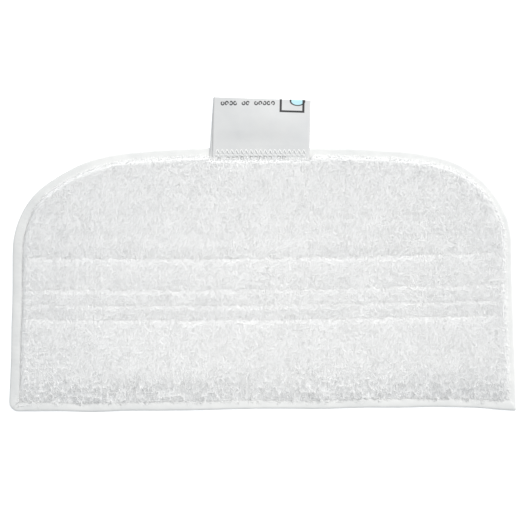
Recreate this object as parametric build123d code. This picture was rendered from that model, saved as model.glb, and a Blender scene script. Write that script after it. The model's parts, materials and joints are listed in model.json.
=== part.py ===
from build123d import *
import math
import os

# A D-shaped steam mop pad: a microfibre pile face, a wadding core and a brushed-loop backing,
# quilted together along four seams, bound all round with folded tape, with a folded ribbon
# pull tab sewn over the middle of the curved edge.
#
# Millimetres. +X runs along the straight front edge, +Y towards the curved rear edge and +Z up
# out of the pile. The origin lies on the loop face, which the pad rests on at z = 0.

# ---- driving dimensions -------------------------------------------------------------------

# Plan shape.
FRONT_LEFT = (-157.2, -82.2)  # front corner, before it is rounded
FRONT_MIDDLE = (40.0, -80.3)  # the front edge bows in here
FRONT_RIGHT = (157.7, -81.6)  # front corner where the tape's two ends meet
LEFT_SHOULDER_START = (-156.0, 19.1)  # the left side stops being straight here
LEFT_SHOULDER_RADII = (50.7, 100.8)  # tight arc beside the side, wide arc towards the crown
LEFT_SHOULDER_TURNS = (51.3, 33.6)  # degrees turned by each of those arcs
RIGHT_SHOULDER_START = (155.35, 20.4)
RIGHT_SHOULDER_RADII = (59.2, 151.9)
RIGHT_SHOULDER_TURNS = (75.7, 9.3)
FRONT_LEFT_ROUND = 6.0
FRONT_RIGHT_ROUND = 1.0

# Layers, from the floor up.
BACKING_THICKNESS = 1.2
CORE_THICKNESS = 3.0
PILE_TOP = 8.4
EDGE_LIFT = 0.4  # the bound edge is thinner than the middle and clears the floor by this
TAPE_THICKNESS = 0.45
BACKING_EDGE = 0.75  # backing squeezed in the binding
FACE_EDGE = 1.3  # pile face squeezed in the binding

# Edge binding.
TAPE_WIDTH = 6.5  # on each face of the pad
FLANGE_WIDTH = 7.0  # the squeezed rim of the layers, a little wider than the tape
CORE_INSET = 10.0
PILE_CORNER = 6.0  # plan rounding of the pile's own corners
PILE_EDGE_ROUND = 4.5
CORE_EDGE_ROUND = 1.5
STITCH_INSET = 5.8  # the binding seam, in from the outer edge

# Sewing thread.
THREAD_WIDTH = 0.4
THREAD_HEIGHT = 0.35

# Quilting: each seam's height in Y at the left side, the middle and the right side.
QUILT_SEAMS = (
    (13.6, 13.0, 17.0),
    (-6.6, -6.4, -3.2),
    (-15.9, -16.0, -12.9),
    (-24.6, -25.0, -21.8),
)
SEAM_END_INSET = 8.0  # a seam stops this far from the pad's sides
VALLEY_FLOOR = 5.0  # the pile is pulled down to here along a seam
VALLEY_TOP_WIDTH = 6.0
VALLEY_FLOOR_WIDTH = 1.0
DIMPLE_DEPTH = 0.6  # the groove that a seam pulls into the loop face
DIMPLE_WIDTH = 1.6

# Pull tab: a satin ribbon folded in half, its two ends sewn down over the binding.
RIBBON_WIDTH = 61.0
RIBBON_THICKNESS = 0.3
TAB_CENTRE_X = -1.0
TAB_REACH = 31.4  # from the hinge line to the folded tip
PLY_GAP = 0.3  # air between the two plies
ROOT_FRONT_Y = 76.4  # the ribbon's cut ends, just behind the pile
HINGE_Y = 83.8  # just clear of the binding's outer edge
HINGE_GAP = 1.2  # from the sewn ends to the flap, so that the flap can fold back over them
TAB_SEAM_Y = 77.8  # straight seam, clear of the binding seam
ZIGZAG_Y = 80.1  # middle of the zigzag seam
ZIGZAG_SWING = 1.2  # each way from that middle
ZIGZAG_PITCH = 3.0
TAB_SEAM_MARGIN = 2.0  # the seams stop this far inside the ribbon's selvedges

# ---- levels worked out from those ---------------------------------------------------------

LOWER_TAPE_TOP = EDGE_LIFT + TAPE_THICKNESS
BACKING_EDGE_TOP = LOWER_TAPE_TOP + BACKING_EDGE
FACE_EDGE_TOP = BACKING_EDGE_TOP + FACE_EDGE
UPPER_TAPE_TOP = FACE_EDGE_TOP + TAPE_THICKNESS
CORE_TOP = BACKING_THICKNESS + CORE_THICKNESS
ROOT_BOTTOM = UPPER_TAPE_TOP + THREAD_HEIGHT  # the ribbon lies over the binding seam
ROOT_TOP = ROOT_BOTTOM + 2 * RIBBON_THICKNESS
TAB_THICKNESS = 2 * RIBBON_THICKNESS + PLY_GAP
HINGE_Z = ROOT_BOTTOM + RIBBON_THICKNESS
TAB_DROOP = math.degrees(math.asin((HINGE_Z - TAB_THICKNESS / 2) / TAB_REACH))


def slab(plan, low, high):
    """A flat plan shape made solid between two heights."""
    return extrude(Pos(0, 0, low) * plan, amount=high - low)


def pad_outline(inset=0.0, corner=0.0):
    """The pad's D-shaped plan, pulled in by inset, with any sharp corners rounded to corner."""
    left_side = Line(FRONT_LEFT, LEFT_SHOULDER_START)
    tight = JernArc(left_side @ 1, left_side % 1, LEFT_SHOULDER_RADII[0], -LEFT_SHOULDER_TURNS[0])
    wide = JernArc(tight @ 1, tight % 1, LEFT_SHOULDER_RADII[1], -LEFT_SHOULDER_TURNS[1])
    right_side = Line(FRONT_RIGHT, RIGHT_SHOULDER_START)
    right_tight = JernArc(right_side @ 1, right_side % 1, RIGHT_SHOULDER_RADII[0], RIGHT_SHOULDER_TURNS[0])
    right_wide = JernArc(right_tight @ 1, right_tight % 1, RIGHT_SHOULDER_RADII[1], RIGHT_SHOULDER_TURNS[1])
    crown = TangentArc(wide @ 1, right_wide @ 1, tangent=wide % 1)
    front = ThreePointArc(FRONT_LEFT, FRONT_MIDDLE, FRONT_RIGHT)
    plan = make_face([left_side, tight, wide, crown, right_wide, right_tight, right_side, front])
    plan = fillet(plan.vertices().sort_by_distance(FRONT_LEFT)[0], FRONT_LEFT_ROUND)
    plan = fillet(plan.vertices().sort_by_distance(FRONT_RIGHT)[0], FRONT_RIGHT_ROUND)
    if inset:
        plan = offset(plan, amount=-inset, kind=Kind.INTERSECTION)
    if corner:
        front_corners = [v for v in plan.vertices() if abs(v.X) > 140 and v.Y < -60]
        plan = fillet(front_corners, corner)
    return plan


def seam_path(heights, inset, z):
    """One quilting seam: a very shallow arc from side to side, at height z."""
    left, middle, right = heights
    reach_left = -LEFT_SHOULDER_START[0] - inset
    reach_right = RIGHT_SHOULDER_START[0] - inset
    return ThreePointArc((-reach_left, left, z), (0, middle, z), (reach_right, right, z))


def groove(path, floor_width, top_width, depth):
    """A trapezoid section swept along a path: floor_width at the path, top_width at depth above it."""
    across = Plane(origin=path @ 0, x_dir=Vector(0, 0, 1), z_dir=path % 0)
    section = Polygon(
        (0, -floor_width / 2),
        (0, floor_width / 2),
        (depth, top_width / 2),
        (depth, -top_width / 2),
        align=None,
    )
    return sweep(across * section, path=path)


def thread(path):
    """A sewing thread lying along a path, its underside on the path."""
    return groove(path, THREAD_WIDTH, THREAD_WIDTH, THREAD_HEIGHT)


def face_cloth():
    """The microfibre terry face: a squeezed rim, a raised pile, and a valley along each seam."""
    rim = slab(pad_outline(TAPE_THICKNESS), BACKING_EDGE_TOP, FACE_EDGE_TOP)
    pile = slab(pad_outline(FLANGE_WIDTH, PILE_CORNER), BACKING_EDGE_TOP, PILE_TOP)
    pile = fillet(pile.faces().sort_by(Axis.Z)[-1].edges(), PILE_EDGE_ROUND)
    cloth = rim + pile - absorbent_core()
    depth = PILE_TOP - VALLEY_FLOOR + 1
    spread = VALLEY_TOP_WIDTH * depth / (depth - 1)
    for heights in QUILT_SEAMS:
        cloth -= groove(seam_path(heights, 0, VALLEY_FLOOR), VALLEY_FLOOR_WIDTH, spread, depth)
    # The rim lies on the backing's rim; inside it the cloth comes down to the backing's top.
    under = slab(pad_outline(FLANGE_WIDTH, PILE_CORNER), BACKING_THICKNESS, BACKING_EDGE_TOP)
    return cloth + (under - absorbent_core())


def absorbent_core():
    """The wadding that holds water: a plain pad with softened upper edges."""
    core = slab(pad_outline(CORE_INSET, PILE_CORNER), BACKING_THICKNESS, CORE_TOP)
    return fillet(core.faces().sort_by(Axis.Z)[-1].edges(), CORE_EDGE_ROUND)


def loop_backing():
    """The brushed-loop cloth that grips the mop head's hook strips, dimpled along each seam."""
    middle = slab(pad_outline(FLANGE_WIDTH, PILE_CORNER), 0, BACKING_THICKNESS)
    rim = slab(pad_outline(TAPE_THICKNESS), LOWER_TAPE_TOP, BACKING_EDGE_TOP)
    rim -= slab(pad_outline(FLANGE_WIDTH, PILE_CORNER), BACKING_THICKNESS, BACKING_EDGE_TOP)
    cloth = middle + rim
    for heights in QUILT_SEAMS:
        cloth -= groove(seam_path(heights, 0, 0), DIMPLE_WIDTH, DIMPLE_WIDTH, DIMPLE_DEPTH)
    return cloth


def edge_binding():
    """One tape folded over the pad's edge all the way round, so its section is a U."""
    tape = slab(pad_outline(), EDGE_LIFT, UPPER_TAPE_TOP)
    tape -= slab(pad_outline(TAPE_THICKNESS), LOWER_TAPE_TOP, FACE_EDGE_TOP)
    return tape - slab(pad_outline(TAPE_WIDTH), 0, PILE_TOP)


def binding_thread(low):
    """The binding seam's thread on one face of the tape."""
    outer = pad_outline(STITCH_INSET)
    inner = pad_outline(STITCH_INSET + THREAD_WIDTH)
    return slab(outer, low, low + THREAD_HEIGHT) - slab(inner, low - 1, low + THREAD_HEIGHT + 1)


def tab_span():
    """The ribbon's left and right selvedges."""
    return TAB_CENTRE_X - RIBBON_WIDTH / 2, TAB_CENTRE_X + RIBBON_WIDTH / 2


def tab_root():
    """The ribbon's two cut ends, stacked and sewn down on the binding."""
    left, right = tab_span()
    end = HINGE_Y - TAB_THICKNESS / 2 - HINGE_GAP
    plan = Polygon((left, ROOT_FRONT_Y), (right, ROOT_FRONT_Y), (right, end), (left, end), align=None)
    return slab(plan, ROOT_BOTTOM, ROOT_TOP)


def pull_tab():
    """The free half of the folded ribbon, two plies joined by the fold, drooping to the floor.

    Drawn in its side view, with the hinge line at the sketch's origin, then turned by the droop."""
    half = TAB_THICKNESS / 2
    tip = TAB_REACH - half
    ribbon = Pos(tip / 2, 0) * Rectangle(tip, TAB_THICKNESS)
    ribbon += Pos(tip, 0) * Circle(half)
    gap = Pos(tip / 2, 0) * Rectangle(tip, PLY_GAP)
    gap += Pos(tip, 0) * Circle(PLY_GAP / 2)
    section = ribbon - gap + Circle(half)
    side_view = Plane(origin=(tab_span()[0], HINGE_Y, HINGE_Z), x_dir=(0, 1, 0), z_dir=(1, 0, 0))
    return extrude(side_view * Rot(0, 0, -TAB_DROOP) * section, amount=RIBBON_WIDTH)


def tab_zigzag_points(left, right):
    """The corners of the zigzag seam, swinging either side of its middle line."""
    count = int((right - left) / (ZIGZAG_PITCH / 2))
    return [
        (left + i * ZIGZAG_PITCH / 2, ZIGZAG_Y + (ZIGZAG_SWING if i % 2 else -ZIGZAG_SWING))
        for i in range(count + 1)
    ]


def tab_thread(low):
    """The tab's two seams on one face: a straight row and a zigzag row."""
    left, right = tab_span()
    left, right = left + TAB_SEAM_MARGIN, right - TAB_SEAM_MARGIN
    straight = Pos((left + right) / 2, TAB_SEAM_Y) * Rectangle(right - left, THREAD_WIDTH)
    zigzag = trace(Polyline(*tab_zigzag_points(left, right)), line_width=THREAD_WIDTH)
    return Compound([slab(straight, low, low + THREAD_HEIGHT), slab(zigzag, low, low + THREAD_HEIGHT)])


def main():
    bobbin_floor = EDGE_LIFT - THREAD_HEIGHT
    nodes = {
        "face_cloth": face_cloth(),
        "absorbent_core": absorbent_core(),
        "loop_backing": loop_backing(),
        "edge_binding": edge_binding(),
        "binding_needle_thread": binding_thread(UPPER_TAPE_TOP),
        "binding_bobbin_thread": binding_thread(bobbin_floor),
        "pull_tab": pull_tab(),
        "pull_tab_root": tab_root(),
        "tab_needle_thread": tab_thread(ROOT_TOP),
        "tab_bobbin_thread": tab_thread(bobbin_floor),
    }
    for number, heights in enumerate(QUILT_SEAMS, start=1):
        top = seam_path(heights, SEAM_END_INSET, VALLEY_FLOOR)
        bottom = seam_path(heights, SEAM_END_INSET, DIMPLE_DEPTH - THREAD_HEIGHT)
        nodes[f"quilt_needle_thread_{number}"] = thread(top)
        nodes[f"quilt_bobbin_thread_{number}"] = thread(bottom)
    os.makedirs("parts", exist_ok=True)
    for name, shape in nodes.items():
        export_step(shape, f"parts/{name}.step")
        print(name, round(shape.volume, 1))


main()
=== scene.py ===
# %% [markdown]
# # A steam mop's floor pad
#
# The pad is a small quilt. A microfibre cloth with a deep pile lies on a sheet of wadding and on a
# brushed-loop cloth, four seams quilt the three together, one tape is folded over the whole edge,
# and a folded ribbon at the back is what a hand pulls to peel the pad off the mop.
#
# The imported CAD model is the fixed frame: it says where every piece lies and how large it is. Each
# of its plain solids is replaced here by a piece that looks as it was made.

# %% Load the frame
import json
import math
import bpy
import numpy as np
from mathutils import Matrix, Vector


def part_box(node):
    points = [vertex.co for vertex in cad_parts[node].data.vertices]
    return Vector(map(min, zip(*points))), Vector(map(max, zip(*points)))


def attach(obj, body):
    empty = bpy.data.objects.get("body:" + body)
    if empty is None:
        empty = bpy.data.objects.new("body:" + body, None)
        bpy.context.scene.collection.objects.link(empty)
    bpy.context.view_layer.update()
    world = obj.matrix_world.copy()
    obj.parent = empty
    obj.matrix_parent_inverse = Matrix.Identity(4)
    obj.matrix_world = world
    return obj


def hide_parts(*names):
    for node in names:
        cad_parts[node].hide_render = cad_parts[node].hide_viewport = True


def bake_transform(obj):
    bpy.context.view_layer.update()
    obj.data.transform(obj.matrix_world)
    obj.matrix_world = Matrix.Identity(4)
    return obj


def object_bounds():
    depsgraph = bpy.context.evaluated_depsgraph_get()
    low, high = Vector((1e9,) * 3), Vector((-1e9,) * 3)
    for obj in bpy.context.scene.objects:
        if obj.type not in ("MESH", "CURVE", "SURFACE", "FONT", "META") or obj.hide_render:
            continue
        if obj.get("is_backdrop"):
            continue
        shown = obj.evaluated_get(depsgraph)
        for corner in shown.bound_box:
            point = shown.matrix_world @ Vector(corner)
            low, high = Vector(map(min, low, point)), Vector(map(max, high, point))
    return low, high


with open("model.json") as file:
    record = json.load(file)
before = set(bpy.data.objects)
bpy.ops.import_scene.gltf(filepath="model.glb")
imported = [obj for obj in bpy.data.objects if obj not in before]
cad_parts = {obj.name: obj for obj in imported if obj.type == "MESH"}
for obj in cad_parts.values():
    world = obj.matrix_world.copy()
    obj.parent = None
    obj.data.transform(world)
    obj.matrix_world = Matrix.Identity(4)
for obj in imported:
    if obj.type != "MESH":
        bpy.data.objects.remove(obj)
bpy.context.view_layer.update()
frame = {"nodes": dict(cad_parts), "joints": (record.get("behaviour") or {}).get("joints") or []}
MM = 0.001

# %% [markdown]
# ## The pad's outline
#
# Every layer of a bound pad follows one D-shaped line, so that line is needed first. It could be
# drawn again from its arcs, but it is already in the CAD tape, so it is read from there: rays go out
# from the middle of the pad, and where each ray last cuts an edge of the tape's flat upper face is a
# point of the outline. A D has only one such point in each direction, so a distance for each angle
# is the whole shape, and the depth of any point inside it is quick to work out.

# %% Outline helpers
RAYS = 5760


def node_edges(name, level):
    """The ends of a CAD node's triangle edges that lie flat at one height, as two arrays of (x, y)."""
    mesh = frame["nodes"][name].data
    points = np.empty(len(mesh.vertices) * 3)
    mesh.vertices.foreach_get("co", points)
    corners = np.empty(len(mesh.loops), int)
    mesh.loops.foreach_get("vertex_index", corners)
    start = points.reshape(-1, 3)[corners].reshape(-1, 3, 3)
    end = np.roll(start, -1, axis=1)
    start, end = start.reshape(-1, 3), end.reshape(-1, 3)
    flat = (abs(start[:, 2] - level) < 0.02 * MM) & (abs(end[:, 2] - level) < 0.02 * MM)
    return start[flat, :2], end[flat, :2]


def reach_of(name, level):
    """How far a node's flat face reaches from the origin in each of RAYS directions.
    A ray r cuts the edge from a to b where a x r and b x r have opposite signs, at the share
    (a x r) / (a x r - b x r) of the way along it. The farthest cut counts."""
    start, end = node_edges(name, level)
    angle = np.arange(RAYS) * 2 * np.pi / RAYS
    ray = np.stack([np.cos(angle), np.sin(angle)], 1)
    reach = np.zeros(RAYS)
    for part in np.array_split(np.arange(RAYS), 8):
        r = ray[part]
        side_a = r[:, 1:] * start[:, 0] - r[:, :1] * start[:, 1]
        side_b = r[:, 1:] * end[:, 0] - r[:, :1] * end[:, 1]
        cut = side_a * side_b <= 0
        share = np.where(cut, side_a / np.where(side_a == side_b, 1, side_a - side_b), 0)
        x = start[:, 0] + share * (end[:, 0] - start[:, 0])
        y = start[:, 1] + share * (end[:, 1] - start[:, 1])
        reach[part] = np.where(cut, x * r[:, :1] + y * r[:, 1:], 0).max(1)
    return angle, reach


TAPE_LOW, TAPE_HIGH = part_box("edge_binding")
rim_angle, rim_reach = reach_of("edge_binding", TAPE_HIGH.z)
rim = np.stack([np.cos(rim_angle), np.sin(rim_angle)], 1) * rim_reach[:, None]
print("outline in mm:", (rim.max(0) - rim.min(0)) / MM)

# %% [markdown]
# The outline is then walked at an even pace, starting at the front right corner, where the tape's
# two ends meet. A front edge that was drawn as one arc never comes out of the machine as one arc:
# the cloth eases in and out as it is sewn, by a millimetre or so. `FRONT_EASE` says by how much along
# the front, by X, and `SIDE_EASE` round the rest, by the angle from the right.

# %% Walk the outline
def smooth_loop(values, width):
    """A closed row of values, each averaged with its neighbours by a bell of that many steps."""
    reach = int(3 * width) + 1
    steps = np.arange(-reach, reach + 1)
    bell = np.exp(-0.5 * (steps / width) ** 2)
    total = sum(b * np.roll(values, s, axis=0) for b, s in zip(bell, steps))
    return total / bell.sum()


def wrapped(at, period, known, values):
    """Values of a closed curve at any place along it, by straight lines between the known ones."""
    known = np.concatenate([known - period, known, known + period])
    values = np.concatenate([values] * 3)
    return np.interp(np.mod(at, period), known, values)


FRONT_EASE = np.array([
    (-157, 0), (-128, 0.4), (-110, 1.0), (-79, 0.9), (-50, 0.7), (0, 0.1),
    (30, 0.4), (62, -0.75), (100, -1.4), (134, -1.6), (147, -0.7), (157, 0),
]) * MM
SIDE_EASE = np.array([
    (-30, 0), (0, 0.2), (8, 0.9), (15, 1.5), (24, 1.1), (34, 0.6), (50, 0.6), (62, 0.0), (72, 0.0),
    (98, 0.4), (115, 0.6), (135, 0.7), (155, 0.5), (168, -0.3), (185, -0.7), (200, -0.6), (212, 0),
]) * (1, MM)
eased = np.interp(rim[:, 0], *FRONT_EASE.T) * (rim[:, 1] < -70 * MM)
outwards = np.interp(np.mod(np.degrees(rim_angle) + 30, 360) - 30, *SIDE_EASE.T)
rim *= (1 + smooth_loop(outwards, 16) / rim_reach)[:, None]
rim[:, 1] -= smooth_loop(eased, 16)
rim_reach = np.linalg.norm(rim, axis=1)

corner_ray = np.argmax(np.where((rim[:, 0] > 0) & (rim[:, 1] < 0), rim_reach, 0))
rim = np.roll(rim, -corner_ray, axis=0)
rim_step = np.linalg.norm(np.roll(rim, -1, axis=0) - rim, axis=1)
RIM_LENGTH = rim_step.sum()
rim_at = np.concatenate([[0], np.cumsum(rim_step)[:-1]])


def rim_point(at):
    """The outline's (x, y) at a distance along it, anticlockwise from the front right corner."""
    return np.stack([wrapped(at, RIM_LENGTH, rim_at, rim[:, k]) for k in (0, 1)], -1)


def rim_outward(at, blur=0.6 * MM):
    """The outward direction there: the walk's own direction, over a short stretch, turned right."""
    along = rim_point(at + blur) - rim_point(at - blur)
    along /= np.linalg.norm(along, axis=-1, keepdims=True)
    return np.stack([along[..., 1], -along[..., 0]], -1)


ray_outward = rim_outward(rim_at, 1.5 * MM)
ray_angle = np.unwrap(np.arctan2(rim[:, 1], rim[:, 0]))


def on_ray(x, y, values):
    """Looks up a value of the outline in the direction of each point (x, y)."""
    turn = 2 * np.pi
    around = np.mod(np.arctan2(y, x) - ray_angle[0], turn)
    return wrapped(around, turn, np.mod(ray_angle - ray_angle[0], turn), values)


def depth_inside(x, y):
    """How deep a point is inside the outline, and the outward direction of the edge beside it.
    The way left along the ray, times the cosine between that ray and the edge's outward direction."""
    out = np.stack([on_ray(x, y, ray_outward[:, 0]), on_ray(x, y, ray_outward[:, 1])], -1)
    out /= np.linalg.norm(out, axis=-1, keepdims=True)
    far = np.hypot(x, y)
    reach = on_ray(x, y, np.linalg.norm(rim, axis=1))
    facing = (x * out[..., 0] + y * out[..., 1]) / np.maximum(far, MM)
    depth = (reach - far) * np.clip(facing, 0.2, 1)
    return depth, out


front_half = rim[(rim[:, 1] < -60 * MM) & (abs(rim[:, 0]) < 155 * MM)]
front_half = front_half[np.argsort(front_half[:, 0])]
side_right = rim[(rim[:, 0] > 140 * MM) & (rim[:, 1] < 10 * MM)]
side_right = side_right[np.argsort(side_right[:, 1])]
side_left = rim[(rim[:, 0] < -140 * MM) & (rim[:, 1] < 10 * MM)]
side_left = side_left[np.argsort(side_left[:, 1])]


def depth_from_front(x, y):
    """How far a point is behind the front edge, whatever other edge may be nearer."""
    return y - np.interp(x, front_half[:, 0], front_half[:, 1])


def depth_from_sides(x, y, depth):
    """How far a point is inside the sides and the rear: across to the nearer side in the front
    half, and the depth along the ray in the rear half."""
    right = np.interp(y, side_right[:, 1], side_right[:, 0]) - x
    left = x - np.interp(y, side_left[:, 1], side_left[:, 0])
    rear = ease(y / (10 * MM))
    return np.minimum(right, left) * (1 - rear) + depth * rear


print("outline length in mm:", round(RIM_LENGTH / MM, 1))

# %% [markdown]
# ## Uneven, but the same every time
#
# Cloth is never quite even. The unevenness comes from a table of random numbers with a smooth
# surface through it, so it is the same each run. Laid over the pad at different sizes, and stretched
# along the nap, it makes undulations, clumps and puckers.

# %% Smooth random surfaces
def patchy(x, y, size, seed, stretch=1.0, lie=0.0):
    """A smooth random surface from -1 to 1, with patches about size across.
    The points are turned by lie and shortened by stretch along it, a table of random numbers has
    one number for each cell, and the four around a point are mixed by s*s*(3 - 2s) of its place."""
    turned_x = (x * np.cos(lie) + y * np.sin(lie)) / (size * stretch)
    turned_y = (y * np.cos(lie) - x * np.sin(lie)) / size
    table = np.random.default_rng(seed).uniform(-1, 1, (256, 256))
    cell_x, cell_y = np.floor(turned_x).astype(int), np.floor(turned_y).astype(int)
    fx, fy = turned_x - cell_x, turned_y - cell_y
    fx, fy = fx * fx * (3 - 2 * fx), fy * fy * (3 - 2 * fy)
    a, b = table[cell_x % 256, cell_y % 256], table[(cell_x + 1) % 256, cell_y % 256]
    c, d = table[cell_x % 256, (cell_y + 1) % 256], table[(cell_x + 1) % 256, (cell_y + 1) % 256]
    return (a * (1 - fx) + b * fx) * (1 - fy) + (c * (1 - fx) + d * fx) * fy


def ease(share):
    """0 before 0, 1 after 1, and a smooth s*s*(3 - 2s) between."""
    share = np.clip(share, 0, 1)
    return share * share * (3 - 2 * share)


def bell(distance, width):
    """1 at no distance, falling off as exp(-(distance / width) squared)."""
    return np.exp(-((distance / width) ** 2))


# %% [markdown]
# ## Turning arrays into meshes
#
# Three kinds of surface make the whole pad. A layer is a height over every point of the plan, with
# a face above and a face below. A strip of cloth is an open grid given a thickness. A stitch or a
# tuft is one small closed shape, repeated. Each has a helper that fills a mesh straight from arrays.

# %% Mesh helpers
def make_piece(name, points, faces, material=None, flat=None, tip=None):
    """A new object at the origin from an array of points and an array of faces of equal size.
    flat gives each point its place on the flat cloth, as the UV map, and tip its place up the pile."""
    mesh = bpy.data.meshes.new(name)
    count, size = faces.shape
    mesh.vertices.add(len(points))
    mesh.vertices.foreach_set("co", np.asarray(points, np.float32).ravel())
    mesh.loops.add(count * size)
    mesh.loops.foreach_set("vertex_index", faces.astype(np.int32).ravel())
    mesh.polygons.add(count)
    mesh.polygons.foreach_set("loop_start", np.arange(count, dtype=np.int32) * size)
    mesh.polygons.foreach_set("use_smooth", np.ones(count, bool))
    mesh.update(calc_edges=True)
    if flat is not None:
        layer = mesh.uv_layers.new(name="flat_cloth")
        layer.data.foreach_set("uv", np.asarray(flat, np.float32)[faces.ravel()].ravel())
    if tip is not None:
        level = mesh.attributes.new("tip", "FLOAT", "POINT")
        level.data.foreach_set("value", np.asarray(tip, np.float32))
    piece = bpy.data.objects.new(name, mesh)
    bpy.context.scene.collection.objects.link(piece)
    if material is not None:
        mesh.materials.append(material)
    print(f"{name}: {count} faces")
    return piece


def plan_grid(spacing, inset):
    """A square grid over the pad's plan, inset from the outline, whose outer points are slid
    outwards or inwards onto that line. Returns the points, the cells and which points are on it."""
    low, high = rim.min(0), rim.max(0)
    x = np.arange(low[0], high[0] + spacing, spacing)
    y = np.arange(low[1], high[1] + spacing, spacing)
    gx, gy = np.meshgrid(x, y, indexing="ij")
    depth, out = depth_inside(gx, gy)
    depth = depth - inset
    near = depth < 0.5 * spacing
    gx = np.where(near, gx + depth * out[..., 0], gx)
    gy = np.where(near, gy + depth * out[..., 1], gy)
    kept = depth > -0.5 * spacing
    number = np.arange(gx.size).reshape(gx.shape)
    whole = kept[:-1, :-1] & kept[1:, :-1] & kept[1:, 1:] & kept[:-1, 1:]
    cells = np.stack([number[:-1, :-1], number[1:, :-1], number[1:, 1:], number[:-1, 1:]], -1)[whole]
    used, cells = np.unique(cells, return_inverse=True)
    cells = cells.reshape(-1, 4)
    sides = np.concatenate([cells[:, [k, (k + 1) % 4]] for k in range(4)])
    key = np.sort(sides, 1)
    key = key[:, 0] * gx.size + key[:, 1]
    _, which, times = np.unique(key, return_inverse=True, return_counts=True)
    border = np.zeros(len(used), bool)
    border[sides[times[which.ravel()] == 1].ravel()] = True
    return np.stack([gx.ravel()[used], gy.ravel()[used]], 1), cells, border


def layer_piece(name, plan, cells, border, top, under, material):
    """A closed layer: one face at the heights top, one at the heights under, joined at the border,
    where the two share their points, at a height halfway between."""
    count = len(plan)
    middle = (top + under) / 2
    upper = np.column_stack([plan, np.where(border, middle, top)])
    lower = np.column_stack([plan, under])[~border]
    below = np.arange(count)
    below[~border] = count + np.arange((~border).sum())
    faces = np.concatenate([cells, below[cells][:, ::-1]])
    points = np.concatenate([upper, lower])
    return make_piece(name, points, faces, material, points[:, :2], np.zeros(len(points)))


def strip_piece(name, grid, thickness, flat, material):
    """A strip of cloth from an open grid of points (rows, columns, 3): each face is the grid moved
    half the thickness along its own normal, and four narrow walls close the strip."""
    down = np.gradient(grid, axis=0)
    across = np.gradient(grid, axis=1)
    normal = np.cross(down, across)
    normal /= np.maximum(np.linalg.norm(normal, axis=-1, keepdims=True), 1e-12)
    rows, columns = grid.shape[:2]
    half = 0.5 * thickness
    points = np.concatenate([grid + normal * half, grid - normal * half]).reshape(-1, 3)
    number = np.arange(rows * columns).reshape(rows, columns)
    corners = [number[:-1, :-1], number[1:, :-1], number[1:, 1:], number[:-1, 1:]]
    quads = np.stack(corners, -1).reshape(-1, 4)
    other = rows * columns
    loop = np.concatenate([number[:, 0], number[-1, 1:], number[-2::-1, -1], number[0, -2:0:-1]])
    ahead = np.roll(loop, -1)
    walls = np.stack([loop, loop + other, ahead + other, ahead], 1)
    faces = np.concatenate([quads, quads[:, ::-1] + other, walls])
    return make_piece(name, points, faces, material, np.concatenate([flat.reshape(-1, 2)] * 2))


def repeated_piece(name, shapes, faces, material, tip=None):
    """Many copies of one small shape in one mesh. shapes holds the points of each copy."""
    copies, size = shapes.shape[:2]
    every = (faces[None] + (np.arange(copies) * size)[:, None, None]).reshape(-1, faces.shape[1])
    tips = None if tip is None else np.tile(tip, copies)
    return make_piece(name, shapes.reshape(-1, 3), every, material, None, tips)


# %% [markdown]
# ## Finishes
#
# Three effects turn up in more than one material, so each is a node group: soft mottling, a plain
# weave and a felt of loose fibres. A group puts out only a mask or a height. The shader stays in
# the material, with its sheen and roughness set straight on its sockets.

# %% Node helpers
def new_group(name, inputs, outputs):
    """An empty shader node group with named float or vector inputs and float outputs."""
    group = bpy.data.node_groups.new(name, "ShaderNodeTree")
    for label, kind, value in inputs:
        socket = group.interface.new_socket(label, in_out="INPUT", socket_type=kind)
        if value is not None:
            socket.default_value = value
    for label in outputs:
        group.interface.new_socket(label, in_out="OUTPUT", socket_type="NodeSocketFloat")
    return group, group.nodes.new("NodeGroupInput"), group.nodes.new("NodeGroupOutput")


def maths(tree, operation, first, second=None, third=None):
    """A Math node, with each operand a number or a socket, and its result."""
    node = tree.nodes.new("ShaderNodeMath")
    node.operation = operation
    for place, value in enumerate((first, second, third)):
        if isinstance(value, bpy.types.NodeSocket):
            tree.links.new(value, node.inputs[place])
        elif value is not None:
            node.inputs[place].default_value = value
    return node.outputs[0]


def noise(tree, vector, scale, detail, distortion=0.0):
    """A Noise Texture's factor at that vector."""
    node = tree.nodes.new("ShaderNodeTexNoise")
    tree.links.new(vector, node.inputs["Vector"])
    if isinstance(scale, bpy.types.NodeSocket):
        tree.links.new(scale, node.inputs["Scale"])
    else:
        node.inputs["Scale"].default_value = scale
    node.inputs["Detail"].default_value = detail
    node.inputs["Distortion"].default_value = distortion
    return node.outputs["Fac"]


def mottle_group():
    """Soft patches of two sizes: 0.6 of a coarse noise and 0.4 of one four times finer."""
    group, given, result = new_group(
        "soft_mottle",
        [("Vector", "NodeSocketVector", None), ("Scale", "NodeSocketFloat", 60.0)],
        ["Mask"],
    )
    fine = maths(group, "MULTIPLY", given.outputs["Scale"], 4.0)
    coarse = noise(group, given.outputs["Vector"], given.outputs["Scale"], 3.0)
    small = noise(group, given.outputs["Vector"], fine, 2.0)
    coarse_part = maths(group, "MULTIPLY", coarse, 0.6)
    mixed = maths(group, "ADD", coarse_part, maths(group, "MULTIPLY", small, 0.4))
    group.links.new(mixed, result.inputs["Mask"])
    return group


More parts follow.
